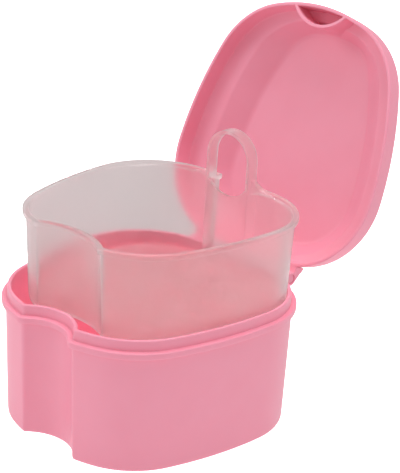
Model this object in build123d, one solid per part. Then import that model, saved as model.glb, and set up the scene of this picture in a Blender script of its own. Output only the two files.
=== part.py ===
from build123d import *
from math import cos, hypot, radians, sin, sqrt
import os

# A denture storage box in three moulded pieces: a cup-shaped case with a thumb notch in
# its front, a lid that swings on two pairs of hinge knuckles at the back, and a frosted
# drain basket that is lifted by the arch at its rear wall.
# Millimetres. +Z is up, -Y is the front with the thumb notch, +Y is the hinge side.
# The origin is on the flat underside of the case, on its plane of symmetry, and the
# pieces stand as they are used: the lid swung open and the basket lifted.

# ---- Plan outline of the case at its flange ----
half_width = 44.0
front_reach = 47.0
rear_reach = 41.5
widest_y = 13.5
side_radius = 124.0
front_radius = 61.5
rear_radius = 185.0
front_arc_half = 19.54
rear_arc_half = 17.77

# ---- Thumb notch in the front of the case ----
notch_radius = 13.0
notch_centre_y = -53.4
notch_corner = 3.4
least_corner = 0.8

# ---- Case ----
case_height = 45.3
neck_height = 3.5
neck_inset = 1.8
neck_draft = 0.03
rim_wall = 1.35
rim_round = 0.6
bead_height = 2.2
bead_round = 0.6
wall_inset = 1.4
wall_draft = 0.024
case_floor = 2.0
foot_round = 1.6
cavity_draft = 0.020
cavity_round = 1.4
round_steps = 2

# ---- Hinge ----
hinge_standoff = 2.58
hinge_drop = 0.48
open_angle = 111.1
stub_radius = 1.6
stub_clearance = 0.05
stub_end_gap = 0.3
knuckle_radius = 2.4
knuckle_sink = 0.15
ear_start = 14.5
ear_width = 4.3
ear_gap = 0.4
ear_drop = 6.5
ear_under_angle = 40.0
lug_width = 3.9
lug_flare = 1.8
lug_flare_end = 0.7
lug_rise = 4.2
lug_back_angle = 58.0
root_depth = 1.0
overcut = 1.0

# ---- Lid ----
seat_gap = 0.15
lid_rim_clearance = 0.55
skirt_height = 6.3
skirt_lean = 0.45
neck_room = 0.3
hollow_lean = 0.15
shoulder_height = 7.4
shoulder_inset = 1.6
shelf_height = 6.2
shelf_inset = 1.7
shelf_step = 0.45
shelf_rise = 0.15
slope_height = 7.1
slope_side = 9.2
slope_front = 5.2
slope_rear = 3.7
crest_height = 13.3
crest_side = 17.2
crest_front = 8.6
crest_rear = 7.2
slope_corner_shares = (0.801, 0.862)
crest_corner_shares = (0.488, 0.655)
lid_wall = 1.15
slope_shares = (0.95, 0.70, 0.43, 0.75)
crest_shares = (1.0, 0.60, 0.36, 0.60)
crown_rise = 0.45
crown_inset = 13.0
bend_reach = 1.3
pocket_wall = 1.2
pocket_clearance = 0.6

# ---- Basket ----
lip_clearance = 0.75
lip_height = 1.8
lip_overhang = 1.1
lip_round = 0.5
basket_wall = 1.0
basket_floor = 1.2
basket_draft = 0.040
basket_round = 2.4
basket_gap = 0.3
basket_notch_radius = 20.75
basket_notch_centre_y = -61.2
basket_notch_corner = 5.0
slot_width = 3.0
slot_length = 13.0
slot_rows = 5
slot_columns = 3
slot_pitch_x = 17.0
slot_pitch_y = 8.5
slot_centre_y = -3.0

# ---- Lifting handle on the rear wall of the basket ----
handle_height = 18.5
handle_half_width = 9.6
ribbon_wall = 1.4
ribbon_front = 30.4
ribbon_depth = 4.3
channel_wall = 1.2
hole_drop = 4.0
web_height = 4.3
web_reach = 8.5
web_depth = 2.9
web_sag = 0.25
web_lap = 0.2
headroom = 3.2

# ---- Where the lifted basket stands ----
basket_dip = 4.55
lift_right = 1.87
lift_back = 1.73

# ---- Heights that follow ----
ledge_z = case_height - neck_height
bead_z = ledge_z - bead_height
mouth_z = ledge_z + seat_gap
hinge_y = rear_reach + hinge_standoff
hinge_z = ledge_z - hinge_drop
cavity_inset = neck_inset + rim_wall
lip_inset = cavity_inset + lip_clearance
basket_inset = lip_inset + lip_overhang
lid_rim_inset = neck_inset - lid_rim_clearance
seated_base = case_floor + basket_gap
basket_height = mouth_z + crest_height - headroom - handle_height - seated_base
lifted_rim_z = case_height - basket_dip + basket_height
handle_inner = handle_half_width - ribbon_wall

flange_notch = (notch_centre_y, notch_radius, notch_corner)
basket_notch = (basket_notch_centre_y, basket_notch_radius, basket_notch_corner)

# ---- Centres of the outline's side, front and rear arcs ----
side_centre = (half_width - side_radius, widest_y)
front_centre = (0, front_radius - front_reach)
rear_centre = (0, rear_reach - rear_radius)


def corner_radius(centre, radius, arc_half, way):
    """Radius of the corner arc that leaves the front or rear arc at arc_half from the middle.

    The corner touches that arc there and the side arc elsewhere. way is -1 for the front
    and 1 for the rear."""
    ux = arc_half / radius
    uy = way * sqrt(1 - ux**2)
    px = centre[0] + radius * ux - side_centre[0]
    py = centre[1] + radius * uy - side_centre[1]
    return (side_radius**2 - px**2 - py**2) / (2 * (side_radius - ux * px - uy * py))


front_corner = corner_radius(front_centre, front_radius, front_arc_half, -1)
rear_corner = corner_radius(rear_centre, rear_radius, rear_arc_half, 1)


def crossing(first, first_reach, second, second_reach, side):
    """The point at two distances from two centres, on the side of the line between them."""
    gap = hypot(second[0] - first[0], second[1] - first[1])
    along = (gap**2 + first_reach**2 - second_reach**2) / (2 * gap)
    away = side * sqrt(first_reach**2 - along**2)
    ux = (second[0] - first[0]) / gap
    uy = (second[1] - first[1]) / gap
    return (first[0] + along * ux - away * uy, first[1] + along * uy + away * ux)


def touching(centre, radius, towards):
    """Where a circle touches the smaller circle centred at towards."""
    reach = hypot(towards[0] - centre[0], towards[1] - centre[1])
    share = radius / reach
    return (centre[0] + share * (towards[0] - centre[0]), centre[1] + share * (towards[1] - centre[1]))


def arc_between(centre, start, end, z):
    """The short arc about centre from start to end, at height z."""
    radius = hypot(start[0] - centre[0], start[1] - centre[1])
    chord = ((start[0] + end[0]) / 2, (start[1] + end[1]) / 2)
    middle = touching(centre, radius, chord)
    return ThreePointArc((*start, z), (*middle, z), (*end, z))


def mirrored(point):
    """The same point on the left of the plane of symmetry."""
    return (-point[0], point[1])


def outline(z, front, side, rear, corners, notch=None):
    """Face inside eight tangent arcs, drawn in from the flange edge by three insets.

    Each of front, side and rear keeps its centre and only its radius shrinks. corners
    holds the front and rear corner radii. A notch is a concave arc in the front with
    rounded corners, which grows by the front inset."""
    front_r = front_radius - front
    side_r = side_radius - side
    rear_r = rear_radius - rear
    fore = crossing(side_centre, side_r - corners[0], front_centre, front_r - corners[0], -1)
    aft = crossing(side_centre, side_r - corners[1], rear_centre, rear_r - corners[1], 1)
    fore_start = touching(front_centre, front_r, fore)
    fore_end = touching(side_centre, side_r, fore)
    aft_start = touching(side_centre, side_r, aft)
    aft_end = touching(rear_centre, rear_r, aft)
    half = []
    if notch is None:
        front_edges = [arc_between(front_centre, mirrored(fore_start), fore_start, z)]
    else:
        notch_centre = (0, notch[0])
        notch_r = notch[1] + front
        round_r = max(notch[2] - front, least_corner)
        horn = crossing(notch_centre, notch_r + round_r, front_centre, front_r - round_r, -1)
        horn_in = touching(notch_centre, notch_r, horn)
        horn_out = touching(front_centre, front_r, horn)
        front_edges = [arc_between(notch_centre, mirrored(horn_in), horn_in, z)]
        half.append((horn, horn_in, horn_out))
        half.append((front_centre, horn_out, fore_start))
    half.append((fore, fore_start, fore_end))
    half.append((side_centre, fore_end, aft_start))
    half.append((aft, aft_start, aft_end))
    right = [arc_between(centre, start, end, z) for centre, start, end in half]
    left = [arc_between(mirrored(c), mirrored(e), mirrored(s), z) for c, s, e in reversed(half)]
    back = arc_between(rear_centre, aft_end, mirrored(aft_end), z)
    return Face(Wire(front_edges + right + [back] + left))


def even_outline(z, inset, notch=None):
    """The flange outline drawn in by the same inset all round."""
    return outline(z, inset, inset, inset, (front_corner - inset, rear_corner - inset), notch)


def prism(face, height):
    """A face carried straight up, or down when height is negative."""
    return extrude(face, amount=abs(height), dir=(0, 0, 1 if height > 0 else -1))


def rounded_end(z, inset, rise, spread, notch):
    """Outlines of a quarter round at one end of a form, from its wall to its flat end at z.

    rise and spread are the round's radius. rise is negative where the wall comes up to z,
    and spread is negative where the end flares outward."""
    turns = [radians(90 * step / round_steps) for step in range(round_steps + 1)]
    places = [(z + rise * (1 - sin(turn)), inset + spread * (1 - cos(turn))) for turn in turns]
    return [even_outline(level, reach, notch) for level, reach in places]


def tapered(z_open, inset, z_shut, draft, turn, notch):
    """A form from its plain end at z_open, drawn in by the draft, to its rounded end at z_shut."""
    narrowed = inset + draft * (abs(z_open - z_shut) - turn)
    rise = turn if z_open > z_shut else -turn
    shut = rounded_end(z_shut, narrowed, rise, turn, notch)
    return through([even_outline(z_open, inset, notch), *shut])


def rounded_band(z_from, z_to, inset, turn, notch):
    """A band of the even outline, with rounded edges below and above."""
    below = rounded_end(z_from, inset, turn, turn, notch)
    above = rounded_end(z_to, inset, -turn, turn, notch)
    return through([*reversed(below), *above])


def through(levels):
    """A closed form through a stack of outlines: straight from each one to the next."""
    return Solid.make_loft([face.outer_wire() for face in levels], ruled=True)


def hinge_bar(radius, x_from, x_to):
    """A round bar about the hinge axis between two places along it."""
    bar = Cylinder(radius, x_to - x_from, rotation=(0, 90, 0))
    return Pos((x_from + x_to) / 2, hinge_y, hinge_z) * bar


def on_knuckle(angle, sink):
    """The (y, z) place at an angle above +Y, sunk a little below the knuckle's surface."""
    reach = knuckle_radius - sink
    return (hinge_y + reach * cos(radians(angle)), hinge_z + reach * sin(radians(angle)))


def side_plate(points, x_from, x_to):
    """A plate across the hinge axis, cut to a profile given as (y, z) points."""
    profile = make_face(Polyline(*[(x_from, y, z) for y, z in points], close=True))
    return extrude(profile, amount=x_to - x_from, dir=(1, 0, 0))


def make_case():
    """Cup, flange bead, neck, thumb notch, and the two hinge ears with their stubs."""
    cup = tapered(bead_z, wall_inset, 0, wall_draft, foot_round, flange_notch)
    cup += rounded_band(bead_z, ledge_z, 0, bead_round, flange_notch)
    cup += tapered(ledge_z, neck_inset, case_height, neck_draft, rim_round, flange_notch)
    mouth = rounded_end(case_height, cavity_inset, -rim_round, -rim_round, flange_notch)
    floor_inset = cavity_inset + cavity_draft * (case_height - case_floor - cavity_round)
    floor = rounded_end(case_floor, floor_inset, cavity_round, cavity_round, flange_notch)
    cup -= through([*reversed(mouth), *floor])
    for x_from in (ear_start, -ear_start - ear_width):
        cup += make_ear(x_from)
    return cup


def make_ear(x_from):
    """One ear: a web out of the rear wall, the knuckle and the stub that faces outward."""
    x_to = x_from + ear_width
    root_y = rear_reach - wall_inset - root_depth
    web = side_plate(
        [
            (root_y, hinge_z - ear_drop),
            on_knuckle(-ear_under_angle, 0),
            (hinge_y, hinge_z),
            (root_y, hinge_z),
        ],
        x_from,
        x_to,
    )
    ear = web + hinge_bar(knuckle_radius, x_from, x_to)
    stub_length = ear_gap + lug_width - stub_end_gap
    if x_from > 0:
        return ear + hinge_bar(stub_radius, x_to, x_to + stub_length)
    return ear + hinge_bar(stub_radius, x_from - stub_length, x_from)


def eased(levels, reach):
    """The stack of levels with each bend eased over a reach to either side of it.

    A level is (height, front inset, side inset, rear inset, front corner, rear corner)."""
    softened = [levels[0]]
    for before, bend, after in zip(levels, levels[1:], levels[2:]):
        softened.append(part_way(bend, before, reach))
        softened.append(part_way(bend, after, reach))
    softened.append(levels[-1])
    return softened


def part_way(bend, other, reach):
    """The level that lies a reach from the bend on the run to another level, or its middle."""
    run = hypot(other[0] - bend[0], other[2] - bend[2])
    share = min(reach / run, 0.45)
    return tuple(b + share * (o - b) for b, o in zip(bend, other))


def even_level(height, inset):
    """A level drawn in by the same inset all round."""
    return (height, inset, inset, inset, front_corner - inset, rear_corner - inset)


def lid_form(levels):
    """The closed form through a stack of levels, its heights counted from the lid's mouth."""
    return through([outline(mouth_z + z, f, s, r, (cf, cr)) for z, f, s, r, cf, cr in levels])


def moved_out(level, shares, wall):
    """A dome level moved up and out by its shares of a wall's thickness."""
    height, front, side, rear = (
        value + sign * share * wall
        for value, sign, share in zip(level, (1, -1, -1, -1), shares)
    )
    return (height, front, side, rear, *level[4:])


def corners_of(shares, less=0):
    """The front and rear corner radii of a dome level, as shares of the flange's corners."""
    return (shares[0] * front_corner - less, shares[1] * rear_corner - less)


def dome_levels(wall):
    """Levels of the lid's dome. wall is 0 on the inside, and the wall's thickness outside."""
    slope = (slope_height, slope_front, slope_side, slope_rear, *corners_of(slope_corner_shares))
    crest = (crest_height, crest_front, crest_side, crest_rear, *corners_of(crest_corner_shares))
    crown = (
        crest_height + wall + crown_rise,
        crest_front + crown_inset,
        crest_side + crown_inset,
        crest_rear + crown_inset,
        *corners_of(crest_corner_shares, crown_inset / 2),
    )
    return [moved_out(slope, slope_shares, wall), moved_out(crest, crest_shares, wall), crown]


def make_lid():
    """Lid in its closed place: stepped shell, finger pocket and hinge lugs."""
    outer_levels = [
        even_level(0, 0),
        even_level(skirt_height, skirt_lean),
        even_level(shoulder_height, shoulder_inset),
        *dome_levels(lid_wall),
    ]
    inner_levels = [
        even_level(shelf_height, shelf_inset),
        even_level(shelf_height + shelf_rise, shelf_inset + shelf_step),
        *dome_levels(0),
    ]
    rim_levels = [
        even_level(0, lid_rim_inset),
        even_level(neck_height + neck_room, lid_rim_inset + hollow_lean),
    ]
    outer = lid_form(eased(outer_levels, bend_reach))
    lid = outer - lid_form(rim_levels + eased(inner_levels, bend_reach))
    upright = (Align.CENTER, Align.CENTER, Align.MIN)
    pocket_radius = notch_radius + neck_inset - pocket_clearance
    ring = Cylinder(pocket_radius, crest_height, align=upright)
    ring -= Cylinder(pocket_radius - pocket_wall, crest_height, align=upright)
    lid += (Pos(0, notch_centre_y, mouth_z) * ring) & outer
    for side in (1, -1):
        lid += make_lug(side)
    for side in (1, -1):
        start = side * (ear_start + ear_width)
        end = side * (ear_start + ear_width + ear_gap + lug_width + overcut)
        lid -= hinge_bar(stub_radius + stub_clearance, min(start, end), max(start, end))
    return lid


def make_lug(side):
    """One hinge lug of the lid: a flared web in line with the rim, and its knuckle."""
    near = ear_start + ear_width + ear_gap
    far = near + lug_width
    root_y = rear_reach - lid_rim_inset - root_depth
    tip_y = hinge_y - lug_flare_end
    end_y = hinge_y + knuckle_radius
    web = side_plate(
        [
            (root_y, mouth_z),
            (hinge_y - knuckle_radius, mouth_z),
            (hinge_y, hinge_z),
            on_knuckle(lug_back_angle, knuckle_sink),
            (root_y, mouth_z + lug_rise),
        ],
        near,
        far + lug_flare,
    )
    low_z = hinge_z - knuckle_radius
    plan = make_face(
        Polyline(
            (near, root_y - overcut, low_z),
            (far + lug_flare, root_y - overcut, low_z),
            (far + lug_flare, root_y + root_depth, low_z),
            (far, tip_y, low_z),
            (far, end_y, low_z),
            (near, end_y, low_z),
            close=True,
        )
    )
    lug = web & prism(plan, lug_rise + 2 * knuckle_radius)
    lug += hinge_bar(knuckle_radius, near, far)
    return lug if side > 0 else mirror(lug, about=Plane.YZ)


def make_basket():
    """Basket with its rim at z = 0: drafted cup, lip, rear channel, arch and drain slots."""
    base_z = -basket_height
    cup = tapered(-lip_height, basket_inset, base_z, basket_draft, basket_round, basket_notch)
    cup += rounded_band(-lip_height, 0, lip_inset, lip_round, basket_notch)
    inner_inset = basket_inset + basket_wall
    inner_round = basket_round - basket_wall
    floor_z = base_z + basket_floor
    basket = cup - tapered(0, inner_inset, floor_z, basket_draft, inner_round, basket_notch)
    channel = box_between(
        (-handle_half_width, ribbon_front, base_z),
        (handle_half_width, rear_reach, 0),
    )
    basket += channel & cup
    basket -= box_between(
        (-handle_inner, ribbon_front + channel_wall, base_z - overcut),
        (handle_inner, rear_reach, overcut),
    )
    basket -= make_hole_foot()
    basket += make_arch()
    rear_bound = prism(even_outline(-lip_height, lip_inset), lip_height + 2 * web_height)
    for side in (1, -1):
        basket += make_cheek(side) & rear_bound
        basket += make_web(side) & rear_bound
    return basket - make_slots(base_z)


def box_between(low, high):
    """A block from its lowest corner to its highest."""
    size = [h - l for l, h in zip(low, high)]
    middle = [(h + l) / 2 for l, h in zip(low, high)]
    return Pos(*middle) * Box(*size)


def make_hole_foot():
    """The rounded foot of the finger hole, a dip in the channel's front wall."""
    y = ribbon_front - overcut
    left = (-handle_inner, y, 0)
    right = (handle_inner, y, 0)
    dip = [ThreePointArc(left, (0, y, -hole_drop), right), Line(right, left)]
    return extrude(Face(Wire(dip)), amount=channel_wall + 2 * overcut, dir=(0, 1, 0))


def make_arch():
    """The flat ribbon that carries on the channel's two sides and bends over at the top."""
    y = ribbon_front
    spring_z = handle_height - handle_half_width
    low_z = -lip_height
    outer = [(-handle_half_width, y, low_z), (-handle_half_width, y, spring_z)]
    outer += [(handle_half_width, y, spring_z), (handle_half_width, y, low_z)]
    inner = [(handle_inner, y, low_z), (handle_inner, y, spring_z)]
    inner += [(-handle_inner, y, spring_z), (-handle_inner, y, low_z)]
    edges = [
        Line(outer[0], outer[1]),
        ThreePointArc(outer[1], (0, y, handle_height), outer[2]),
        Line(outer[2], outer[3]),
        Line(outer[3], inner[0]),
        Line(inner[0], inner[1]),
        ThreePointArc(inner[1], (0, y, handle_height - ribbon_wall), inner[2]),
        Line(inner[2], inner[3]),
        Line(inner[3], outer[0]),
    ]
    ribbon = extrude(Face(Wire(edges)), amount=ribbon_depth, dir=(0, 1, 0))
    return ribbon


def make_cheek(side):
    """The tapering top of one channel side, from the full depth at the lip to the ribbon's."""
    low_z = -lip_height
    y_front = ribbon_front
    y_ribbon = ribbon_front + ribbon_depth
    x_from = handle_inner if side > 0 else -handle_half_width
    profile = [
        (y_front, low_z),
        (rear_reach, low_z),
        (rear_reach, 0),
        (y_ribbon, web_height),
        (y_front, web_height),
    ]
    return side_plate(profile, x_from, x_from + ribbon_wall)


def make_web(side):
    """The concave web by which the lip sweeps up into one leg of the arch."""
    y = rear_reach - lip_inset
    x_root = side * (handle_half_width - web_lap)
    x_end = side * (handle_half_width + web_reach)
    sag = (side * (handle_half_width + web_sag * web_reach), y, web_sag * web_height)
    edges = [
        Line((x_root, y, -lip_height), (x_root, y, web_height)),
        ThreePointArc((x_root, y, web_height), sag, (x_end, y, 0)),
        Line((x_end, y, 0), (x_end, y, -lip_height)),
        Line((x_end, y, -lip_height), (x_root, y, -lip_height)),
    ]
    return extrude(Face(Wire(edges)), amount=web_depth, dir=(0, -1, 0))


def make_slots(base_z):
    """Rows of drain slots through the basket's floor."""
    slot = extrude(SlotOverall(slot_length, slot_width), amount=basket_floor + 2 * overcut)
    places = GridLocations(slot_pitch_x, slot_pitch_y, slot_columns, slot_rows)
    start = Pos(0, slot_centre_y, base_z - overcut)
    return Part() + [start * place * slot for place in places]


def main():
    """Build the three pieces, stand them as they are used, and write them."""
    os.makedirs("parts", exist_ok=True)
    hinge = Axis((0, hinge_y, hinge_z), (1, 0, 0))
    export_step(make_case(), "parts/case_body.step")
    export_step(make_lid().rotate(hinge, -open_angle), "parts/lid.step")
    export_step(Pos(lift_right, lift_back, lifted_rim_z) * make_basket(), "parts/basket.step")


if __name__ == "__main__":
    main()
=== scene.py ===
"""Looks of a denture case: a pink moulded case with its lid, and a frosted drain basket."""

import logging
import math
from dataclasses import dataclass, field
from enum import Enum

import bpy
import numpy as np
from mathutils import Matrix, Vector


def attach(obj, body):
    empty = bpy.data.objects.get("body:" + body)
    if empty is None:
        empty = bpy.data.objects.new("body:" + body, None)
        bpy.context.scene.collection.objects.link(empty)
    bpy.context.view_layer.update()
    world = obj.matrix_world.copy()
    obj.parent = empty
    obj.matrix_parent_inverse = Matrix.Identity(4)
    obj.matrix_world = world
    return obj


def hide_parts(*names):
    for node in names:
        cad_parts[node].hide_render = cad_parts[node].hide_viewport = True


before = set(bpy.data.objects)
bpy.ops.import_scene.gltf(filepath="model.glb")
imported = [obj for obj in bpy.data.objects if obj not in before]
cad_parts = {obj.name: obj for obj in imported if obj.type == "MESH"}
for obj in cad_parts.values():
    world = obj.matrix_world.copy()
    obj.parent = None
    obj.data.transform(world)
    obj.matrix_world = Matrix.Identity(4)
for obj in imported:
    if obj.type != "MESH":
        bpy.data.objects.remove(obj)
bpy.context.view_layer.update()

LOG = logging.getLogger("denture_case")
MM = 0.001
IMAGE_WIDTH = 400
IMAGE_HEIGHT = 473
SHARP_EDGE = 34  # degrees; edges that bend more stay sharp


class Colour(Enum):
    """The part's own colours, as sRGB hex values."""

    PINK = "f89db3"
    PINK_DEEP = "f594aa"
    FROST = "f7ecec"
    FLOOR = "a8a8a8"


class Cap(Enum):
    """How a stack of rings ends."""

    FLAT = "flat"
    POLE = "pole"


# ---------------------------------------------------------------- shapes from numpy arrays


@dataclass
class Shape:
    """A closed surface: its points in millimetres and its faces as lists of point numbers."""

    points: np.ndarray
    faces: list[list[int]]

    def turned(self, angle: float, y: float, z: float) -> "Shape":
        """Returns the shape turned about a line along X through (y, z).

        Args:
            angle: the turn in degrees, by the right-hand rule about +X.
            y: the line's place across.
            z: the line's height.
        """
        turn, spot = math.radians(angle), np.array([0.0, y, z])
        matrix = np.array([[1, 0, 0], [0, math.cos(turn), -math.sin(turn)],
                           [0, math.sin(turn), math.cos(turn)]])
        return Shape((self.points - spot) @ matrix.T + spot, self.faces)

    def moved(self, x: float, y: float, z: float) -> "Shape":
        """Returns the shape shifted by x, y and z."""
        return Shape(self.points + np.array([x, y, z]), self.faces)

    def mirrored(self) -> "Shape":
        """Returns the shape seen in the plane X = 0, with its faces still outwards."""
        return Shape(self.points * np.array([-1, 1, 1]), [face[::-1] for face in self.faces])


def joined(shapes: list[Shape]) -> Shape:
    """Puts several shapes into one.

    Args:
        shapes: the closed surfaces.

    Returns:
        One shape with all their points and faces.
    """
    starts = np.cumsum([0] + [len(s.points) for s in shapes])
    faces = [[n + int(start) for n in face] for s, start in zip(shapes, starts)
             for face in s.faces]
    return Shape(np.vstack([s.points for s in shapes]), faces)


def skin(rings: np.ndarray, first: Cap, last: Cap) -> Shape:
    """Closes a stack of rings into a surface.

    Each ring is joined to the next by four-sided faces. A flat cap is one many-sided face
    in its ring, and a pole cap takes the mean of its ring as the ring's one centre.

    Args:
        rings: levels x points x 3. Seen against the way the stack runs, a ring's points go
            round to the left, so the faces look outwards.
        first: how the first ring is closed.
        last: how the last ring is closed.

    Returns:
        The closed shape.
    """
    levels, count = rings.shape[:2]
    numbers = np.arange(levels * count).reshape(levels, count)
    ahead = np.roll(numbers, -1, axis=1)
    faces = np.stack([numbers[:-1], ahead[:-1], ahead[1:], numbers[1:]], axis=-1)
    faces = faces.reshape(-1, 4).tolist()
    points = rings.reshape(-1, 3)
    for cap, row, step in ((first, 0, -1), (last, levels - 1, 1)):
        if cap is Cap.FLAT:
            faces.append(numbers[row, ::step].tolist())
        else:
            pole = np.full(count, len(points))
            points = np.vstack([points, rings[row].mean(axis=0)])
            fan = np.stack([numbers[row], ahead[row], pole], axis=-1)
            faces += fan[:, ::step].tolist()
    return Shape(points, faces)


def eased(corners: np.ndarray, reaches: list[float], steps: int) -> np.ndarray:
    """Rounds the corners of a run of levels.

    Around each inner corner the run follows the parabola that touches both of its sides
    at that corner's reach: (1-t)^2 start + 2t(1-t) corner + t^2 end.

    Args:
        corners: levels x values. The first and third values are the height and the inset,
            by which lengths are measured.
        reaches: the reach at each inner corner, in millimetres.
        steps: how many spans each corner gets.

    Returns:
        More levels, with the same values.
    """
    spans = np.hypot(*np.diff(corners[:, [0, 2]], axis=0).T)
    share = np.linspace(0, 1, steps + 1)[:, None]
    parts = [corners[:1]]
    for i, reach in enumerate(reaches, start=1):
        before, corner, after = corners[i - 1:i + 2]
        start = corner + (before - corner) * min(reach / spans[i - 1], 0.49)
        end = corner + (after - corner) * min(reach / spans[i], 0.49)
        parts.append((1 - share) ** 2 * start + 2 * share * (1 - share) * corner
                     + share ** 2 * end)
    parts.append(corners[-1:])
    return np.vstack(parts)


def crossing(first: np.ndarray, first_reach: np.ndarray, second: np.ndarray,
             second_reach: np.ndarray, side: int) -> np.ndarray:
    """Finds where two circles cross, for many levels at once.

    The point lies (d^2 + a^2 - b^2) / 2d along the line of centres and to one side of it.

    Args:
        first: the first centre, levels x 2.
        first_reach: the first radius of each level.
        second: the second centre.
        second_reach: the second radius.
        side: 1 for the left of the line of centres, -1 for its right.

    Returns:
        The crossing points, levels x 2.
    """
    line = second - first
    gap = np.hypot(line[:, 0], line[:, 1])
    along = (gap ** 2 + first_reach ** 2 - second_reach ** 2) / (2 * gap)
    away = side * np.sqrt(first_reach ** 2 - along ** 2)
    way = line / gap[:, None]
    across = np.stack([-way[:, 1], way[:, 0]], axis=-1)
    return first + along[:, None] * way + away[:, None] * across


def touching(centre: np.ndarray, radius: np.ndarray, towards: np.ndarray) -> np.ndarray:
    """Returns the point of each circle that lies towards another point."""
    line = towards - centre
    return centre + line * (radius / np.hypot(line[:, 0], line[:, 1]))[:, None]


def arc(centre: np.ndarray, start: np.ndarray, end: np.ndarray, count: int) -> np.ndarray:
    """Samples the short arc between two points, at even turns, without its last point.

    Args:
        centre: the arc's centre, levels x 2.
        start: where it starts.
        end: where it ends.
        count: how many spans it gets.

    Returns:
        Levels x count x 2 points.
    """
    first, last = start - centre, end - centre
    radius = np.hypot(first[:, 0], first[:, 1])[:, None]
    from_angle = np.arctan2(first[:, 1], first[:, 0])[:, None]
    to_angle = np.arctan2(last[:, 1], last[:, 0])[:, None]
    turn = (to_angle - from_angle + math.pi) % (2 * math.pi) - math.pi
    angle = from_angle + turn * np.linspace(0, 1, count, endpoint=False)
    return centre[:, None, :] + np.stack([radius * np.cos(angle), radius * np.sin(angle)], -1)


def line(start: np.ndarray, end: np.ndarray, count: int) -> np.ndarray:
    """Samples the straight run between two points, without its last point."""
    share = np.linspace(0, 1, count, endpoint=False)[None, :, None]
    return start[:, None, :] * (1 - share) + end[:, None, :] * share


@dataclass(frozen=True)
class Notch:
    """A concave arc in the middle of the front, with rounded corners."""

    centre_y: float
    radius: float
    corner: float
    least_corner: float = 0.8


@dataclass(frozen=True)
class Groove:
    """A straight-sided groove in the middle of the rear, open to the back."""

    half_width: float
    front_y: float
    corner: float


@dataclass(frozen=True)
class Plan:
    """The case's outline from above, in millimetres: eight tangent arcs round the flange."""

    half_width: float = 44.0
    front_reach: float = 47.0
    rear_reach: float = 41.5
    widest_y: float = 13.5
    side_radius: float = 124.0
    front_radius: float = 61.5
    rear_radius: float = 185.0
    front_corner: float = 28.7
    rear_corner: float = 29.0

    def even(self, levels: np.ndarray) -> np.ndarray:
        """Turns rows of (height, inset) into full levels with the same inset all round."""
        z, inset = np.asarray(levels, float).T
        return np.stack([z, inset, inset, inset, self.front_corner - inset,
                         self.rear_corner - inset], axis=-1)

    def rings(self, levels: np.ndarray, notch: Notch | None = None,
              groove: Groove | None = None) -> np.ndarray:
        """Works out the outline's points at each level.

        Every arc keeps its centre and loses its own inset from its radius, and the corner
        arcs are found where circles moved in by their radius cross.

        Args:
            levels: rows of height, front, side and rear inset, front and rear corner.
            notch: the thumb notch in the front, if the outline has one.
            groove: the groove in the rear, if it has one.

        Returns:
            Levels x points x 3, from the middle of the front round by +X.
        """
        z, front, side, rear, fore_r, aft_r = levels.T
        centre = [np.tile(c, (len(z), 1)) for c in (
            (self.half_width - self.side_radius, self.widest_y),
            (0.0, self.front_radius - self.front_reach),
            (0.0, self.rear_reach - self.rear_radius))]
        side_r, front_r, rear_r = (self.side_radius - side, self.front_radius - front,
                                   self.rear_radius - rear)
        fore = crossing(centre[0], side_r - fore_r, centre[1], front_r - fore_r, -1)
        aft = crossing(centre[0], side_r - aft_r, centre[2], rear_r - aft_r, 1)
        fore_start = touching(centre[1], front_r, fore)
        fore_end = touching(centre[0], side_r, fore)
        aft_start = touching(centre[0], side_r, aft)
        aft_end = touching(centre[2], rear_r, aft)
        middle = np.zeros((len(z), 2))
        if notch is None:
            middle[:, 1] = centre[1][:, 1] - front_r
            half = [arc(centre[1], middle, fore_start, 24)]
        else:
            notch_centre = np.tile((0.0, notch.centre_y), (len(z), 1))
            notch_r = notch.radius + front
            round_r = np.maximum(notch.corner - front, notch.least_corner)
            horn = crossing(notch_centre, notch_r + round_r, centre[1], front_r - round_r, -1)
            horn_in = touching(notch_centre, notch_r, horn)
            horn_out = touching(centre[1], front_r, horn)
            middle[:, 1] = notch.centre_y + notch_r
            half = [arc(notch_centre, middle, horn_in, 14), arc(horn, horn_in, horn_out, 10),
                    arc(centre[1], horn_out, fore_start, 12)]
        half += [arc(fore, fore_start, fore_end, 26), arc(centre[0], fore_end, aft_start, 30),
                 arc(aft, aft_start, aft_end, 26)]
        half += self.rear_half(centre[2], rear_r, aft_end, groove)
        right = np.concatenate(half, axis=1)
        left = right[:, -2:0:-1] * np.array([-1.0, 1.0])
        flat = np.concatenate([right, left], axis=1)
        heights = np.broadcast_to(z[:, None, None], (*flat.shape[:2], 1))
        return np.concatenate([flat, heights], axis=-1)

    def rear_half(self, centre: np.ndarray, radius: np.ndarray, start: np.ndarray,
                  groove: Groove | None) -> list[np.ndarray]:
        """Works out the right half of the rear, with its last point on the middle plane.

        Args:
            centre: the rear arc's centre, levels x 2.
            radius: the rear arc's radius at each level.
            start: where the rear arc starts.
            groove: the groove in the rear, if the outline has one.

        Returns:
            The runs of points in order.
        """
        if groove is None:
            middle = centre + np.stack([np.zeros_like(radius), radius], axis=-1)
            return [arc(centre, start, middle, 24), middle[:, None, :]]
        turn = groove.corner
        x = np.full_like(radius, groove.half_width)
        lip_x = x + turn
        lip_y = centre[:, 1] + np.sqrt(radius ** 2 - lip_x ** 2)
        spots = [np.stack(pair, axis=-1) for pair in (
            (lip_x, lip_y), (x, lip_y - turn), (lip_x, lip_y - turn),
            (x, np.full_like(x, groove.front_y + turn)),
            (x - turn, np.full_like(x, groove.front_y)),
            (x - turn, np.full_like(x, groove.front_y + turn)),
            (0 * x, np.full_like(x, groove.front_y)))]
        return [arc(centre, start, spots[0], 12), arc(spots[2], spots[0], spots[1], 4),
                line(spots[1], spots[3], 10), arc(spots[5], spots[3], spots[4], 4),
                line(spots[4], spots[6], 20), spots[6][:, None, :]]


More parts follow.
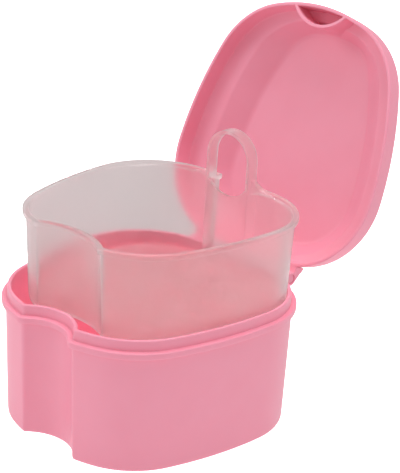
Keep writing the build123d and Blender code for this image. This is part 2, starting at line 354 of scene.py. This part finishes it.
def bar(radius: float, x_from: float, x_to: float, y: float, z: float,
        edge: float = 0.25) -> Shape:
    """Makes a round bar along X with eased ends.

    Args:
        radius: the bar's radius.
        x_from: its left end.
        x_to: its right end.
        y: its axis across.
        z: its axis's height.
        edge: how far its end edges are rounded.

    Returns:
        The closed bar. A ring is axis + radius (cos t, sin t) in the plane across X.
    """
    run = np.array([[x_from, 0, radius - 2 * edge], [x_from, 0, radius], [x_to, 0, radius],
                    [x_to, 0, radius - 2 * edge]])
    run = eased(run, [edge, edge], 3)
    turn = np.linspace(0, 2 * math.pi, 48, endpoint=False)[None, :]
    along = np.broadcast_to(run[:, :1], (len(run), turn.shape[1]))
    rings = np.stack([along, y + run[:, 2:] * np.cos(turn), z + run[:, 2:] * np.sin(turn)], -1)
    return skin(rings, Cap.FLAT, Cap.FLAT)


def plate(profile: list[tuple[float, float]], x_from: float, x_to: float) -> Shape:
    """Makes a flat plate across X from its outline.

    Args:
        profile: (y, z) corners that go round to the left seen from +X.
        x_from: its left face.
        x_to: its right face.

    Returns:
        The closed plate.
    """
    outline = np.array(profile)
    rings = np.stack([np.column_stack([np.full(len(outline), x), outline])
                      for x in (x_from, x_to)])
    return skin(rings, Cap.FLAT, Cap.FLAT)


def to_mesh(name: str, shape: Shape, sharp: float) -> bpy.types.Mesh:
    """Makes a smooth-shaded mesh in metres.

    Args:
        name: the mesh's name.
        shape: its points and faces.
        sharp: edges that bend by more than this many degrees stay sharp.

    Returns:
        The mesh.
    """
    mesh = bpy.data.meshes.new(name)
    mesh.from_pydata((shape.points * MM).tolist(), [], shape.faces)
    mesh.validate()
    mesh.shade_smooth()
    mesh.set_sharp_from_angle(angle=math.radians(sharp))
    return mesh


def combined(name: str, base: Shape, others: list[tuple[str, Shape]],
             sharp: float) -> bpy.types.Mesh:
    """Adds shapes to a base and cuts others from it, one after the other.

    Args:
        name: the mesh's name.
        base: the closed shape to start from.
        others: pairs of UNION or DIFFERENCE and a closed shape.
        sharp: edges that bend by more than this many degrees stay sharp.

    Returns:
        The mesh that the exact solver leaves, without the walls between the joined parts. It
        is not tested for open edges here.
    """
    host = bpy.data.objects.new(name, to_mesh(name, base, sharp))
    bpy.context.scene.collection.objects.link(host)
    tools = []
    for number, (way, shape) in enumerate(others):
        tool = bpy.data.objects.new(f"{name}_tool_{number}", to_mesh("tool", shape, sharp))
        bpy.context.scene.collection.objects.link(tool)
        step = host.modifiers.new(f"step_{number}", "BOOLEAN")
        step.operation, step.solver, step.object = way, "EXACT", tool
        tools.append(tool)
    solved = bpy.data.meshes.new_from_object(
        host.evaluated_get(bpy.context.evaluated_depsgraph_get()))
    for spare in (*tools, host):
        bpy.data.objects.remove(spare)
    solved.name = name
    solved.shade_smooth()
    solved.set_sharp_from_angle(angle=math.radians(sharp))
    return solved


def add_piece(mesh: bpy.types.Mesh, material: bpy.types.Material, body: str, node: str) -> None:
    """Puts a finished piece into the scene in place of a CAD node.

    Args:
        mesh: its mesh, in place and in metres.
        material: its finish.
        body: the CAD body that it rides on.
        node: the CAD node that it stands for.
    """
    mesh.materials.clear()
    mesh.materials.append(material)
    piece = bpy.data.objects.new(mesh.name, mesh)
    bpy.context.scene.collection.objects.link(piece)
    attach(piece, body)
    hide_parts(node)
    LOG.info("%s: %d faces", piece.name, len(mesh.polygons))


# ---------------------------------------------------------------- finishes


def linear(code: str) -> tuple[float, float, float, float]:
    """Turns an sRGB hex value to linear red, green, blue and alpha.

    Args:
        code: six hex digits, without a hash sign.

    Returns:
        Four numbers from 0 to 1, with alpha 1.
    """
    values = np.array([int(code[i:i + 2], 16) for i in (0, 2, 4)]) / 255
    curve = np.where(values <= 0.04045, values / 12.92, ((values + 0.055) / 1.055) ** 2.4)
    return (*(float(v) for v in curve), 1.0)


def add_node(tree: bpy.types.NodeTree, kind: str, settings: dict | None = None,
             links: dict | None = None) -> bpy.types.Node:
    """Adds one shader node.

    Args:
        tree: the material's node tree.
        kind: the node's type name, such as ShaderNodeBump.
        settings: a property name or an input socket (name or number) to its value.
        links: an input socket (name or number) to the output socket that feeds it.

    Returns:
        The new node.
    """
    node = tree.nodes.new(kind)
    for key, value in (settings or {}).items():
        if isinstance(key, str) and hasattr(node, key):
            setattr(node, key, value)
        else:
            node.inputs[key].default_value = value
    for key, source in (links or {}).items():
        tree.links.new(source, node.inputs[key])
    return node


def new_tree(name: str) -> tuple[bpy.types.Material, bpy.types.NodeTree]:
    """Makes an empty node material.

    Args:
        name: the material's name.

    Returns:
        The material and its node tree, without nodes.
    """
    material = bpy.data.materials.new(name)
    material.use_nodes = True
    material.node_tree.nodes.clear()
    return material, material.node_tree


@dataclass(frozen=True)
class SatinPolypropylene:
    """Injection-moulded polypropylene, dyed through, from a finely spark-eroded mould.

    To the eye it is a soft, even, slightly waxy pink with a broad satin sheen: light enters a
    little way and comes out again, so the shade between faces is gentle.
    """

    name: str
    colour: Colour
    deep: Colour
    roughness: float = 0.42
    grain: float = 0.35 * MM
    flow: float = 14.0 * MM
    grain_height: float = 0.012 * MM

    def build(self) -> bpy.types.Material:
        """Returns the material, with its grain from noise on Object coordinates."""
        material, tree = new_tree(self.name)
        place = add_node(tree, "ShaderNodeTexCoord").outputs["Object"]
        flow = add_node(tree, "ShaderNodeTexNoise",
                        {"Scale": 1 / self.flow, "Detail": 2.0, "Roughness": 0.5},
                        {"Vector": place})
        grain = add_node(tree, "ShaderNodeTexNoise",
                         {"Scale": 1 / self.grain, "Detail": 3.0, "Roughness": 0.6},
                         {"Vector": place})
        spread = add_node(tree, "ShaderNodeMapRange",
                          {"From Min": 0.35, "From Max": 0.65, "To Min": 0.0, "To Max": 0.3},
                          {"Value": flow.outputs["Fac"]})
        colour = add_node(tree, "ShaderNodeMix",
                          {"data_type": "RGBA", 6: linear(self.colour.value),
                           7: linear(self.deep.value)},
                          {"Factor": spread.outputs["Result"]})
        rough = add_node(tree, "ShaderNodeMapRange",
                         {"From Min": 0.3, "From Max": 0.7, "To Min": self.roughness - 0.05,
                          "To Max": self.roughness + 0.05},
                         {"Value": grain.outputs["Fac"]})
        bump = add_node(tree, "ShaderNodeBump",
                        {"Strength": 0.35, "Distance": self.grain_height},
                        {"Height": grain.outputs["Fac"]})
        shader = add_node(tree, "ShaderNodeBsdfPrincipled",
                          {"IOR": 1.49, "Subsurface Weight": 0.12,
                           "Subsurface Radius": (4.0, 1.6, 1.8), "Subsurface Scale": MM},
                          {"Base Color": colour.outputs[2], "Roughness": rough.outputs["Result"],
                           "Normal": bump.outputs["Normal"]})
        add_node(tree, "ShaderNodeOutputMaterial", links={"Surface": shader.outputs["BSDF"]})
        return material


@dataclass(frozen=True)
class FrostedPolypropylene:
    """Undyed polypropylene about 1 mm thick, moulded against a fine matt mould.

    To the eye it is a milky veil: what touches it shows through nearly clear, what lies further
    behind it goes soft, and white behind it turns to a warm light grey. The refraction index is
    set below the real 1.49. Shadow rays pass nearly freely, so the inside of the case
    stays lit.
    """

    name: str
    colour: Colour
    clarity: float = 0.88
    roughness: float = 0.34
    refraction: float = 1.22
    veil_roughness: float = 0.45
    shine_through: float = 0.45
    shadow_tint: tuple[float, ...] = (0.96, 0.95, 0.95, 1.0)
    grain: float = 0.5 * MM
    cloud: float = 9.0 * MM

    def build(self) -> bpy.types.Material:
        """Returns the material: rough clear plastic mixed with a white scattering veil."""
        material, tree = new_tree(self.name)
        place = add_node(tree, "ShaderNodeTexCoord").outputs["Object"]
        cloud = add_node(tree, "ShaderNodeTexNoise",
                         {"Scale": 1 / self.cloud, "Detail": 2.0, "Roughness": 0.5},
                         {"Vector": place})
        grain = add_node(tree, "ShaderNodeTexNoise",
                         {"Scale": 1 / self.grain, "Detail": 2.0, "Roughness": 0.6},
                         {"Vector": place})
        bump = add_node(tree, "ShaderNodeBump", {"Strength": 0.25, "Distance": 0.01 * MM},
                        {"Height": grain.outputs["Fac"]})
        rough = add_node(tree, "ShaderNodeMapRange",
                         {"From Min": 0.3, "From Max": 0.7, "To Min": self.roughness - 0.04,
                          "To Max": self.roughness + 0.04},
                         {"Value": cloud.outputs["Fac"]})
        clear = add_node(tree, "ShaderNodeBsdfPrincipled",
                         {"Base Color": linear(self.colour.value), "IOR": self.refraction,
                          "Transmission Weight": 1.0},
                         {"Roughness": rough.outputs["Result"]})
        veil = add_node(tree, "ShaderNodeBsdfPrincipled",
                        {"Base Color": linear(self.colour.value), "IOR": 1.49,
                         "Roughness": self.veil_roughness},
                        {"Normal": bump.outputs["Normal"]})
        through = add_node(tree, "ShaderNodeBsdfTranslucent",
                           {"Color": linear(self.colour.value)})
        milky = add_node(tree, "ShaderNodeMixShader", {0: self.shine_through},
                         {1: veil.outputs["BSDF"], 2: through.outputs["BSDF"]})
        amount = add_node(tree, "ShaderNodeMapRange",
                          {"From Min": 0.3, "From Max": 0.7,
                           "To Min": 1 - self.clarity - 0.02, "To Max": 1 - self.clarity + 0.02},
                          {"Value": cloud.outputs["Fac"]})
        body = add_node(tree, "ShaderNodeMixShader",
                        links={0: amount.outputs["Result"], 1: clear.outputs["BSDF"],
                               2: milky.outputs["Shader"]})
        path = add_node(tree, "ShaderNodeLightPath")
        pass_on = add_node(tree, "ShaderNodeBsdfTransparent", {"Color": self.shadow_tint})
        whole = add_node(tree, "ShaderNodeMixShader",
                         links={0: path.outputs["Is Shadow Ray"], 1: body.outputs["Shader"],
                                2: pass_on.outputs["BSDF"]})
        add_node(tree, "ShaderNodeOutputMaterial", links={"Surface": whole.outputs["Shader"]})
        return material


# ---------------------------------------------------------------- the object's pieces


@dataclass
class Hinge:
    """The hinge's axis and knuckles, shared by the case and the lid."""

    y: float = 44.08
    z: float = 41.32
    open_angle: float = 111.1
    stub: float = 1.6
    stub_end_gap: float = 0.3
    bore: float = 1.65
    knuckle: float = 2.4
    sink: float = 0.15
    ear_start: float = 14.5
    ear_width: float = 4.3
    ear_gap: float = 0.4
    ear_drop: float = 6.5
    ear_under: float = math.radians(40)
    lug_width: float = 3.9
    lug_flare: float = 0.2
    lug_rise: float = 4.2
    lug_back: float = math.radians(58)

    def round(self, start: float, stop: float, count: int,
              sink: float = 0.0) -> list[tuple[float, float]]:
        """Returns (y, z) points on the knuckle between two angles above +Y, in radians."""
        turn = np.linspace(start, stop, count)
        reach = self.knuckle - sink
        return list(zip((self.y + reach * np.cos(turn)).tolist(),
                        (self.z + reach * np.sin(turn)).tolist()))


@dataclass
class CaseCup:
    """The case: a cup with a thumb notch, a flange bead, a neck and two hinge ears."""

    plan: Plan
    hinge: Hinge
    material: bpy.types.Material
    height: float = 45.3
    ledge: float = 41.8
    bead: float = 39.6
    floor: float = 2.0
    wall_inset: float = 1.4
    foot_inset: float = 2.31
    neck_inset: float = 1.8
    rim_inset: float = 1.9
    cavity_inset: float = 3.15
    floor_inset: float = 3.99
    foot_round: float = 1.6
    edge_round: float = 0.6
    cavity_round: float = 1.4
    notch: Notch = field(default_factory=lambda: Notch(-53.4, 13.0, 3.4))

    def cup(self) -> Shape:
        """Returns the cup: its section run round the plan, from the underside to the floor."""
        section = [(0, self.foot_inset + 3), (0, self.foot_inset), (self.bead, self.wall_inset),
                   (self.bead, 0), (self.ledge, 0), (self.ledge, self.neck_inset),
                   (self.height, self.rim_inset), (self.height, self.cavity_inset),
                   (self.floor, self.floor_inset), (self.floor, self.floor_inset + 3)]
        levels = self.plan.even(np.array(section))
        reaches = [self.foot_round, 0.2, self.edge_round, self.edge_round, 0.25,
                   self.edge_round, self.edge_round, self.cavity_round]
        rings = self.plan.rings(eased(levels, reaches, 5), self.notch)
        return skin(rings, Cap.FLAT, Cap.FLAT)

    def ear(self) -> list[Shape]:
        """Returns the right ear: web, knuckle and stub."""
        h = self.hinge
        root = self.plan.rear_reach - self.wall_inset - 1
        start, stop = h.ear_start, h.ear_start + h.ear_width
        under = h.round(-h.ear_under, -h.ear_under, 1, 0.02)
        web = plate([(root, h.z - h.ear_drop), *under, (h.y, h.z), (root, h.z)], start, stop)
        end = stop + h.ear_gap + h.lug_width - h.stub_end_gap
        return [web, bar(h.knuckle, start, stop, h.y, h.z),
                bar(h.stub, stop - 0.5, end, h.y, h.z, 0.2)]

    def build(self) -> None:
        """Makes the case and puts it into the scene."""
        right = self.ear()
        ears = [("UNION", part) for part in right + [part.mirrored() for part in right]]
        add_piece(combined("case_cup", self.cup(), ears, SHARP_EDGE), self.material,
                  "case", "case_body")


@dataclass
class Lid:
    """The lid: a stepped, domed shell with a finger pocket in front and two hinge lugs."""

    plan: Plan
    hinge: Hinge
    material: bpy.types.Material
    mouth: float = 41.95
    rim_inset: float = 1.25
    rim_round: float = 0.4
    skirt: tuple[float, float] = (6.3, 0.45)
    shoulder: tuple[float, float] = (7.4, 1.6)
    hollow: tuple[float, float] = (3.8, 1.4)
    shelf: tuple[float, float] = (6.2, 1.7)
    shelf_step: tuple[float, float] = (0.15, 0.45)
    slope: tuple[float, ...] = (7.1, 5.2, 9.2, 3.7, 22.99, 25.0)
    crest: tuple[float, ...] = (13.3, 8.6, 17.2, 7.2, 14.01, 19.0)
    slope_shares: tuple[float, ...] = (0.95, -0.70, -0.43, -0.75, 0, 0)
    crest_shares: tuple[float, ...] = (1.0, -0.60, -0.36, -0.60, 0, 0)
    wall: float = 1.15
    crown_rise: float = 0.22
    crown_inset: float = 13.0
    bend: float = 0.9
    notch_y: float = -53.4
    pocket_radius: float = 14.2
    pocket_wall: float = 1.2

    def dome(self, wall: float) -> np.ndarray:
        """Returns the dome's corner levels, moved out by the wall's thickness or by 0."""
        crest = np.array(self.crest)
        inset = self.crown_inset
        crown = crest + np.array([wall + self.crown_rise, inset, inset, inset,
                                  -inset / 2, -inset / 2])
        return np.array([np.array(self.slope) + wall * np.array(self.slope_shares),
                         crest + wall * np.array(self.crest_shares), crown])

    def inner_levels(self) -> np.ndarray:
        """Returns the inside's corner levels, from the rim up to the crown."""
        shelf_end = np.add(self.shelf, self.shelf_step)
        low = self.plan.even(np.array([(0, self.rim_inset), self.hollow, self.shelf,
                                       shelf_end]))
        return np.vstack([low, self.dome(0)])

    def crown_rings(self, edge: np.ndarray, start: float) -> np.ndarray:
        """Carries the crown's edge ring in towards its middle, over a flat rise.

        A point is middle + s (edge - middle), at the edge's height + 0.12 (1 - s^2).

        Args:
            edge: the edge ring, points x 3.
            start: the largest share s, below 1.

        Returns:
            Rings x points x 3, from the edge inwards.
        """
        middle = edge.mean(axis=0)
        share = np.linspace(start, 0.08, 8)[:, None, None]
        rings = middle + share * (edge - middle)
        rings[..., 2] = edge[0, 2] + 0.12 * (1 - share[..., 0] ** 2)
        return rings

    def shell(self) -> Shape:
        """Returns the shell in its closed place, run from the inner crown to the outer one."""
        inner, dome = self.inner_levels(), self.dome(self.wall)
        outer = np.vstack([self.plan.even(np.array([(0, 0), self.skirt, self.shoulder])), dome])
        run = np.vstack([inner[::-1], outer])
        reaches = [self.bend * 1.4, self.bend, 0.15, 0.2, 0.8, self.rim_round, self.rim_round,
                   self.bend, self.bend, self.bend, self.bend * 1.4]
        levels = eased(run, reaches, 6)
        levels[:, 0] += self.mouth
        rings = self.plan.rings(levels)
        inside = self.crown_rings(rings[0], 0.88)[::-1]
        outside = self.crown_rings(rings[-1], 0.88)
        return skin(np.vstack([inside, rings, outside]), Cap.POLE, Cap.POLE)

    def pocket(self) -> Shape:
        """Returns the curved wall round the thumb notch, in its closed place.

        In plan it is a ring's arc about the notch's centre. Its top follows the dome's inner
        height, read from the inside's levels by how far a point lies in from the front arc.
        """
        half_turn = math.radians(54.5)
        turn = np.linspace(-half_turn, half_turn, 72)[:, None]
        edge = 0.3
        across = np.array([0, 0, 0.15, 0.5, 0.85, 1, 1, 1, 0.5, 0])[None, :] * self.pocket_wall
        radius = self.pocket_radius - self.pocket_wall + across
        x, y = radius * np.sin(turn), self.notch_y + radius * np.cos(turn)
        centre_y = self.plan.front_radius - self.plan.front_reach
        inset = self.plan.front_radius - np.hypot(x, y - centre_y)
        levels = self.inner_levels()
        top = np.interp(inset, levels[:, 1], levels[:, 0]) + 0.5
        low = np.array([1.5, edge, 0, 0, 0, edge, 1.5, 0, 0, 0])[None, :]
        is_top = np.array([0, 0, 0, 0, 0, 0, 0, 1, 1, 1])[None, :]
        z = self.mouth + np.where(is_top == 1, top, np.minimum(low, top - 0.1))
        rings = np.stack([x, y, z], axis=-1)
        return skin(rings, Cap.FLAT, Cap.FLAT)

    def lug(self) -> list[Shape]:
        """Returns the right lug, flared where it leaves the rim, and its knuckle."""
        h = self.hinge
        near = h.ear_start + h.ear_width + h.ear_gap
        far = near + h.lug_width
        root = self.plan.rear_reach - self.rim_inset - 0.6
        rise = self.mouth + h.lug_rise
        profile = [(root, self.mouth), (h.y - h.knuckle, self.mouth), (h.y, h.z),
                   *h.round(h.lug_back, h.lug_back, 1, h.sink), (root, rise)]
        web = plate(profile, near, far)
        wide = [(root, self.mouth), (h.y - h.knuckle, self.mouth), (h.y - h.knuckle, rise - 0.8),
                (root, rise)]
        flare = plate(wide, far - 0.5, far + h.lug_flare)
        reach = (flare.points[:, 1] - root) / (h.y - h.knuckle - root)
        is_far = flare.points[:, 0] > far
        flare.points[:, 0] -= np.where(is_far, h.lug_flare * np.clip(reach, 0, 1), 0)
        return [web, flare, bar(h.knuckle, near, far, h.y, h.z)]

    def build(self) -> None:
        """Makes the lid, swings it open and puts it into the scene."""
        h = self.hinge
        right = self.lug()
        steps = [("UNION", part) for part in right + [part.mirrored() for part in right]]
        start = h.ear_start + h.ear_width
        bore = bar(h.bore, start, start + h.ear_gap + h.lug_width + 1, h.y, h.z, 0.01)
        steps += [("UNION", self.pocket()), ("DIFFERENCE", bore),
                  ("DIFFERENCE", bore.mirrored())]
        steps = [(way, shape.turned(-h.open_angle, h.y, h.z)) for way, shape in steps]
        shell = self.shell().turned(-h.open_angle, h.y, h.z)
        add_piece(combined("lid_shell", shell, steps, SHARP_EDGE),
                  self.material, "lid", "lid")


@dataclass
class Basket:
    """The drain basket: a drafted cup with a lip, a rear channel and an arched handle."""

    plan: Plan
    material: bpy.types.Material
    place: tuple[float, float, float] = (1.87, 1.73, 72.0)
    base: float = -31.25
    floor: float = 1.2
    lip_height: float = 1.8
    lip_inset: float = 3.9
    lip_round: float = 0.55
    wall_inset: float = 5.0
    wall: float = 1.0
    draft: float = 0.04
    foot_round: float = 2.4
    notch: Notch = field(default_factory=lambda: Notch(-61.2, 20.75, 5.0))
    half_width: float = 9.6
    front_y: float = 30.4
    ribbon_depth: float = 4.3
    ribbon_wall: float = 1.4
    channel_wall: float = 1.2
    height: float = 18.5
    hole_drop: float = 4.0
    ribbon_round: float = 0.35
    leg_foot: float = -1.5
    floor_zone: float = 6.0
    web_height: float = 4.3
    web_reach: float = 8.5
    web_depth: float = 2.9
    web_edge: float = 0.4
    web_foot: float = -1.1
    web_forward: float = 2.72
    web_tilt: float = 1.2
    web_curve: float = 4.9
    slot_half_length: float = 5.0
    slot_radius: float = 1.5
    slot_pitch: tuple[float, float] = (17.0, 8.5)
    slot_centre_y: float = -3.0
    slip: float = 0.02

    def cup(self) -> Shape:
        """Returns the cup with its rear channel.

        The outer skin follows the plan with a groove in its rear, and the inner skin the same
        plan, drawn in, with a wider groove, so the channel's walls lie between the two. The
        handle's hole dips below the rim by a circle's arc, sqrt(r^2 - x^2) - (r - drop), and
        the dip fades to nothing at the floor zone.
        """
        foot = self.wall_inset - self.draft * (self.base + self.foot_round)
        outer = self.plan.even(np.array([
            (self.base, foot + 3.2), (self.base, foot), (-self.lip_height, self.wall_inset),
            (-self.lip_height, self.lip_inset), (0, self.lip_inset), (0, self.lip_inset + 1.05)]))
        outer = eased(outer, [self.foot_round, 0.25, self.lip_round, self.lip_round], 5)
        inner_inset = self.wall_inset + self.wall
        floor = self.base + self.floor
        foot = inner_inset - self.draft * (floor + self.foot_round - self.wall)
        inner = self.plan.even(np.array([
            (0, self.lip_inset + 1.1), (0, inner_inset), (floor, foot), (floor, foot + 3.2)]))
        inner = eased(inner, [self.lip_round, self.foot_round - self.wall], 5)
        clear = self.half_width - self.ribbon_wall
        groove = Groove(clear, self.front_y + self.channel_wall, 0.3)
        channel = Groove(self.half_width, self.front_y, 0.5)
        rings = np.vstack([self.plan.rings(outer, self.notch, groove),
                           self.plan.rings(inner, self.notch, channel)])
        x, y, z = rings[..., 0], rings[..., 1], rings[..., 2]
        radius = (clear ** 2 + self.hole_drop ** 2) / (2 * self.hole_drop)
        dip = np.sqrt(np.maximum(radius ** 2 - x ** 2, 0)) - (radius - self.hole_drop)
        near = (np.abs(x) < clear) & (np.abs(y - self.front_y - 0.6) < 0.8)
        dip = np.where(near & (z > self.base + self.floor_zone), np.maximum(dip, 0), 0)
        share = (z - self.base - self.floor_zone) / (-self.base - self.floor_zone)
        rings[..., 2] = z - dip * share
        return skin(rings, Cap.FLAT, Cap.FLAT)

    def arch(self) -> Shape:
        """Returns the ribbon: a rounded strip carried up, over a half circle and down."""
        centre_radius = self.half_width - self.ribbon_wall / 2
        spring = self.height - self.half_width
        bend = np.linspace(0, math.pi, 49)
        path_x = np.concatenate([np.full(8, centre_radius), centre_radius * np.cos(bend),
                                 np.full(8, -centre_radius)])
        legs = np.linspace(self.leg_foot, spring, 8, endpoint=False)
        path_z = np.concatenate([legs, spring + centre_radius * np.sin(bend), legs[::-1]])
        out_x = np.concatenate([np.ones(8), np.cos(bend), -np.ones(8)])
        out_z = np.concatenate([np.zeros(8), np.sin(bend), np.zeros(8)])
        half = self.ribbon_wall / 2 - self.slip
        front, back = self.front_y + self.slip, self.front_y + self.ribbon_depth
        section = eased(np.array([[half, 0, (front + back) / 2], [half, 0, back],
                                  [-half, 0, back], [-half, 0, front], [half, 0, front],
                                  [half, 0, (front + back) / 2]]),
                        [self.ribbon_round] * 4, 3)[:-1]
        across, depth = section[None, :, 0], section[None, :, 2]
        rings = np.stack([path_x[:, None] + out_x[:, None] * across,
                          np.broadcast_to(depth, (len(path_x), depth.shape[1])),
                          path_z[:, None] + out_z[:, None] * across], axis=-1)
        return skin(rings, Cap.FLAT, Cap.FLAT)

    def rear_line(self, x: np.ndarray) -> np.ndarray:
        """Returns the lip's outer face across the rear, y at each x."""
        radius = self.plan.rear_radius - self.lip_inset
        return (self.plan.rear_reach - self.plan.rear_radius
                + np.sqrt(radius ** 2 - x ** 2) - self.slip)

    def web(self) -> Shape:
        """Returns the right web, by which the lip sweeps up into the leg of the arch.

        With s from 0 at the leg to 1 at the lip, its top falls as (1 - s)^curve, and its plan
        moves from the leg's depth out to the lip's outer face as (1 - s)^3.
        """
        x = np.linspace(self.half_width - 0.2, self.half_width + self.web_reach, 20)[:, None]
        share = (x - self.half_width) / self.web_reach
        sweep = (1 - np.clip(share, 0, 1)) ** self.web_curve
        depth, edge = self.web_depth, self.web_edge
        outer = self.rear_line(x) - self.web_forward * (1 - np.clip(share, 0, 1)) ** 3
        y = outer - np.array([[0, 0, 0.12, edge, depth / 2, depth - edge, depth - 0.12, depth,
                               depth]])
        fall = np.array([[0, edge, 0.12, 0, 0, 0, 0.12, edge, 0]])
        tilt = self.web_tilt * np.clip(1 - (outer - y) / depth, 0, 1)
        z = (self.web_height - tilt) * sweep - fall - 0.02 - 0.5 * share ** 2
        z[:, [0, -1]] = self.web_foot
        rings = np.stack([np.broadcast_to(x, y.shape), y, z], axis=-1)
        return skin(rings, Cap.FLAT, Cap.FLAT)

    def slots(self) -> Shape:
        """Returns the bodies of the fifteen drain slots, to be cut from the floor."""
        turn = np.linspace(-math.pi / 2, math.pi / 2, 9)
        end_x = self.slot_half_length + self.slot_radius * np.cos(turn)
        end_y = self.slot_radius * np.sin(turn)
        loop = np.column_stack([np.concatenate([end_x, -end_x]),
                                np.concatenate([end_y, end_y[::-1]])])
        heights = np.array([self.base - 1, self.base + self.floor + 1])
        rings = np.stack([np.column_stack([loop, np.full(len(loop), z)]) for z in heights])
        one = skin(rings, Cap.FLAT, Cap.FLAT)
        wide, deep = self.slot_pitch
        return joined([one.moved(wide * column, self.slot_centre_y + deep * row, 0)
                       for column in (-1, 0, 1) for row in (-2, -1, 0, 1, 2)])

    def build(self) -> None:
        """Makes the basket, lifts it and puts it into the scene."""
        web = self.web()
        steps = [("UNION", self.arch()), ("UNION", web), ("UNION", web.mirrored()),
                 ("DIFFERENCE", self.slots())]
        steps = [(way, shape.moved(*self.place)) for way, shape in steps]
        cup = self.cup().moved(*self.place)
        add_piece(combined("drain_basket", cup, steps, SHARP_EDGE), self.material,
                  "basket", "basket")


# ---------------------------------------------------------------- studio


@dataclass(frozen=True)
class Lamp:
    """A square soft light: its centre and side in metres, and its power in watts."""

    name: str
    place: tuple[float, float, float]
    size: float
    power: float


@dataclass
class Studio:
    """The white surroundings, two soft lights and the camera at the photograph's angle.

    The camera sees floor and surroundings as plain white. Seen through the basket they are
    grey, as in the photograph, and the floor's glow lights the case's sides from below.
    """

    azimuth: float = math.radians(42.74)
    elevation: float = math.radians(21.707)
    roll: float = math.radians(3.044)
    distance: float = 519.303 * MM
    aim: tuple[float, float, float] = (0.0, 0.0, 40.0 * MM)
    slide: tuple[float, float] = (16.451 * MM, 19.338 * MM)
    focal_pixels: float = 1588.061
    sensor: float = 36.0
    floor_half: float = 1.6
    floor_glow: float = 0.66
    floor_behind_basket: float = 0.22
    room_glow: float = 0.50
    lamps: tuple[Lamp, ...] = (Lamp("key", (-0.85, -0.7, 0.75), 0.5, 3.4),
                               Lamp("top", (0.1, 0.1, 1.1), 0.6, 6.0))
    lit_spot: tuple[float, float, float] = (0.0, 0.0, 0.06)

    def axes(self) -> tuple[Vector, Vector, Vector]:
        """Returns the camera's right, up and backward directions."""
        flat = math.cos(self.elevation)
        back = Vector((math.sin(self.azimuth) * flat, -math.cos(self.azimuth) * flat,
                       math.sin(self.elevation)))
        right = Vector((math.cos(self.azimuth), math.sin(self.azimuth), 0))
        up = back.cross(right)
        turned_right = right * math.cos(self.roll) + up * math.sin(self.roll)
        turned_up = up * math.cos(self.roll) - right * math.sin(self.roll)
        return turned_right, turned_up, back

    def camera(self) -> None:
        """Creates the camera and makes it the scene's."""
        right, up, back = self.axes()
        data = bpy.data.cameras.new("photo_camera")
        data.sensor_width = self.sensor
        data.lens = self.focal_pixels / max(IMAGE_WIDTH, IMAGE_HEIGHT) * self.sensor
        data.clip_start = 0.01
        data.clip_end = 20.0
        camera = bpy.data.objects.new("photo_camera", data)
        place = (Vector(self.aim) + back * self.distance + right * self.slide[0]
                 + up * self.slide[1])
        turn = Matrix((right, up, back)).transposed().to_4x4()
        camera.matrix_world = Matrix.Translation(place) @ turn
        bpy.context.scene.collection.objects.link(camera)
        bpy.context.scene.camera = camera

    def light(self, lamp: Lamp) -> None:
        """Adds one square soft light that faces the case.

        Args:
            lamp: the light's name, place, size and power.
        """
        data = bpy.data.lights.new(lamp.name, "AREA")
        data.shape = "SQUARE"
        data.size = lamp.size
        data.energy = lamp.power
        light = bpy.data.objects.new(lamp.name, data)
        way = Vector(lamp.place) - Vector(self.lit_spot)
        turn = way.to_track_quat("Z", "Y").to_matrix().to_4x4()
        light.matrix_world = Matrix.Translation(lamp.place) @ turn
        bpy.context.scene.collection.objects.link(light)

    def floor(self) -> None:
        """Adds the floor, a grey sheet with a glow that burns it to white for the camera."""
        half = self.floor_half
        corners = [(-half, -half, 0), (half, -half, 0), (half, half, 0), (-half, half, 0)]
        mesh = bpy.data.meshes.new("floor")
        mesh.from_pydata(corners, [], [(0, 1, 2, 3)])
        floor = bpy.data.objects.new("floor", mesh)
        bpy.context.scene.collection.objects.link(floor)
        material, tree = new_tree("pale_floor_paper")
        path = add_node(tree, "ShaderNodeLightPath")
        glow = add_node(tree, "ShaderNodeMapRange",
                        {"To Min": self.floor_glow, "To Max": self.floor_behind_basket},
                        {"Value": path.outputs["Is Transmission Ray"]})
        seen = add_node(tree, "ShaderNodeMath", {"operation": "ADD"},
                        {0: path.outputs["Is Camera Ray"], 1: glow.outputs["Result"]})
        shader = add_node(tree, "ShaderNodeBsdfPrincipled",
                          {"Base Color": linear(Colour.FLOOR.value), "Roughness": 0.8,
                           "Specular IOR Level": 0.2, "Emission Color": (1, 1, 1, 1)},
                          {"Emission Strength": seen.outputs["Value"]})
        add_node(tree, "ShaderNodeOutputMaterial", links={"Surface": shader.outputs["BSDF"]})
        mesh.materials.append(material)

    def world(self) -> None:
        """Sets an even white surrounding light, at full white where the camera sees it."""
        world = bpy.data.worlds.new("white_room")
        world.use_nodes = True
        tree = world.node_tree
        tree.nodes.clear()
        path = add_node(tree, "ShaderNodeLightPath")
        glow = add_node(tree, "ShaderNodeMapRange", {"To Min": self.room_glow, "To Max": 1.0},
                        {"Value": path.outputs["Is Camera Ray"]})
        sky = add_node(tree, "ShaderNodeBackground", {"Color": (1, 1, 1, 1)},
                       {"Strength": glow.outputs["Result"]})
        add_node(tree, "ShaderNodeOutputWorld", links={"Surface": sky.outputs["Background"]})
        bpy.context.scene.world = world

    def build(self) -> None:
        """Sets up the whole studio."""
        bpy.context.scene.view_settings.view_transform = "Standard"
        self.world()
        self.floor()
        for lamp in self.lamps:
            self.light(lamp)
        self.camera()


def main() -> None:
    """Builds the studio and the three pieces."""
    logging.basicConfig(level=logging.INFO, format="%(message)s")
    Studio().build()
    pink = SatinPolypropylene("pink_satin_polypropylene", Colour.PINK, Colour.PINK_DEEP).build()
    frost = FrostedPolypropylene("frosted_polypropylene", Colour.FROST).build()
    plan, hinge = Plan(), Hinge()
    CaseCup(plan, hinge, pink).build()
    Lid(plan, hinge, pink).build()
    Basket(plan, frost).build()


if __name__ == "__main__":
    main()
